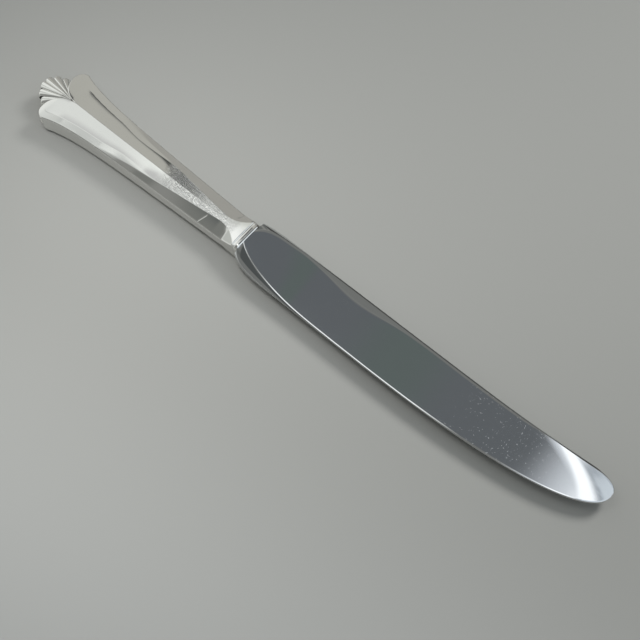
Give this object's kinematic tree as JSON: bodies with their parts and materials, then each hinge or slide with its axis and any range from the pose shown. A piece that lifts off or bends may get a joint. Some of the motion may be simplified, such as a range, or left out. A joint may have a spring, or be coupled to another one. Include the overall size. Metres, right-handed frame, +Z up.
{
  "type": "dinner knife",
  "caption": "Silver hollow-handle dinner knife: ridged handle with a scallop fan on the butt, narrow ferrule and a round-tipped polished stainless blade, lying on its side.",
  "frame": {"origin": "under the middle of the knife's length and width, on the surface that it lies on", "axes": "+X from the butt to the tip of the blade, +Y towards the spine, +Z up through the thickness"},
  "size_m": [0.2288, 0.023, 0.0094],
  "materials": {
    "silver": "polished silver with fine wear scratches",
    "stainless": "mirror-polished stainless steel with light use scratches",
    "solder": "filed silver solder",
    "cement": "set resin cement with mineral filler"
  },
  "bodies": {
    "root": {"handle_shell_upper": "silver", "handle_shell_lower": "silver", "ferrule": "silver", "seam_solder": "solder", "handle_cement": "cement", "blade": "stainless"}
  },
  "joints": []
}
